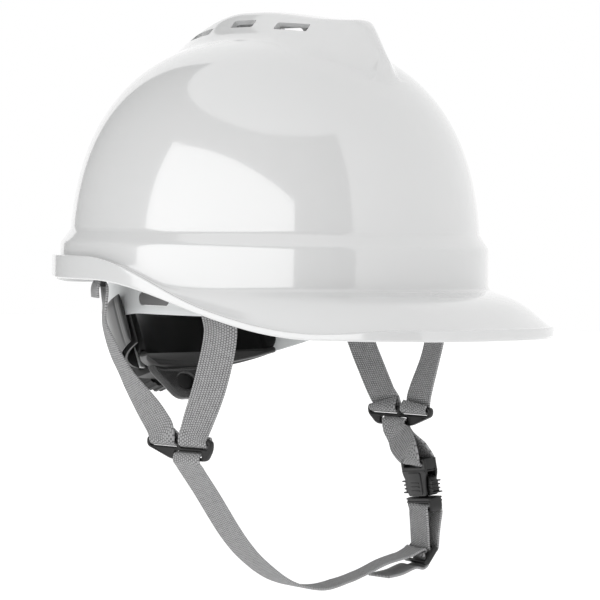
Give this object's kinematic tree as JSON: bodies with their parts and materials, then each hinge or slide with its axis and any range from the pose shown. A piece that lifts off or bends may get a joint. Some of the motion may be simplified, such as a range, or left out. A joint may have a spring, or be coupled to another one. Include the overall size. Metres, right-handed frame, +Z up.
{
  "type": "safety helmet with chin strap",
  "caption": "Peaked safety helmet with vented crest, rain gutter, ratchet headband, nape pad and a webbing chin strap closed by a side-squeeze buckle.",
  "frame": {"origin": "centre of the headband at the height where the shell's vertical band meets the peak", "axes": "+X forward towards the peak, +Y the wearer's left, +Z up through the crown"},
  "size_m": [0.284, 0.222, 0.3091],
  "materials": {
    "shell": "gloss white moulded plastic",
    "headband": "translucent white moulded plastic",
    "brow_pad": "perforated sweatband fabric",
    "webbing_white": "woven cradle webbing",
    "keys": "satin white plastic",
    "black_plastic": "satin black moulded plastic",
    "grey_plastic": "semi-gloss dark grey plastic",
    "screw": "bright steel",
    "nape_pad": "smooth coated padding",
    "webbing": "woven grey polyester webbing"
  },
  "bodies": {
    "helmet": {"shell": "shell", "headband": "headband", "brow_pad": "brow_pad", "crown_strap_a": "webbing_white", "crown_strap_b": "webbing_white", "crown_pad": "headband", "key_front_left": "keys", "key_rear_left": "keys", "key_rear_right": "keys", "key_front_right": "keys", "ratchet_housing": "black_plastic", "nape_pad": "nape_pad", "nape_lobe": "grey_plastic", "anchor_front_right": "black_plastic", "anchor_rear_right": "black_plastic", "anchor_front_left": "black_plastic", "anchor_rear_left": "black_plastic", "strap_front_right": "webbing", "strap_rear_right": "webbing", "strap_front_left": "webbing", "strap_rear_left": "webbing", "slider_right": "black_plastic", "slider_left": "black_plastic", "buckle_upper": "black_plastic", "strap_link_upper": "webbing", "chin_strap": "webbing"},
    "rack_left": {"rack_left": "headband"},
    "rack_right": {"rack_right": "headband"},
    "knob": {"ratchet_pinion": "black_plastic", "ratchet_spring": "keys", "ratchet_knob": "black_plastic", "ratchet_screw": "screw"},
    "buckle_plug": {"buckle_lower": "black_plastic", "strap_link_lower": "webbing", "adjuster": "black_plastic"},
    "lever_front": {"buckle_lever_front": "black_plastic"},
    "lever_rear": {"buckle_lever_rear": "black_plastic"}
  },
  "joints": [
    {"name": "knob_turn", "type": "hinge", "parent": "helmet", "child": "knob", "pos_m": [-0.08, 0, -0.046], "axis": [-0.9272, 0, -0.3746], "range_deg": [-280, 280]},
    {"name": "rack_left_slide", "type": "hinge", "parent": "helmet", "child": "rack_left", "pos_m": [-0.00953, 0, -0.01753], "axis": [-0.3746, 0, 0.9272], "range_deg": [-15, 15]},
    {"name": "rack_right_slide", "type": "hinge", "parent": "helmet", "child": "rack_right", "pos_m": [-0.00953, 0, -0.01753], "axis": [-0.3746, 0, 0.9272], "range_deg": [-15, 15]},
    {"name": "buckle_release", "type": "slide", "parent": "helmet", "child": "buckle_plug", "axis": [0.129, 0.1162, -0.9848], "range_m": [0, 0.018], "deforming": ["chin_strap"]},
    {"name": "lever_front_press", "type": "hinge", "parent": "buckle_plug", "child": "lever_front", "pos_m": [0.03814, 0.08396, -0.12094], "axis": [-0.2992, -0.9423, -0.1504], "range_deg": [0, 5], "stiffness_Nm_per_rad": 0.05},
    {"name": "lever_rear_press", "type": "hinge", "parent": "buckle_plug", "child": "lever_rear", "pos_m": [0.02585, 0.08804, -0.12206], "axis": [0.2992, 0.9423, 0.1504], "range_deg": [0, 5], "stiffness_Nm_per_rad": 0.05}
  ],
  "couplings": [
    {"joint": "rack_left_slide", "follows": "knob_turn", "ratio": -0.052701},
    {"joint": "rack_right_slide", "follows": "knob_turn", "ratio": 0.051613}
  ]
}
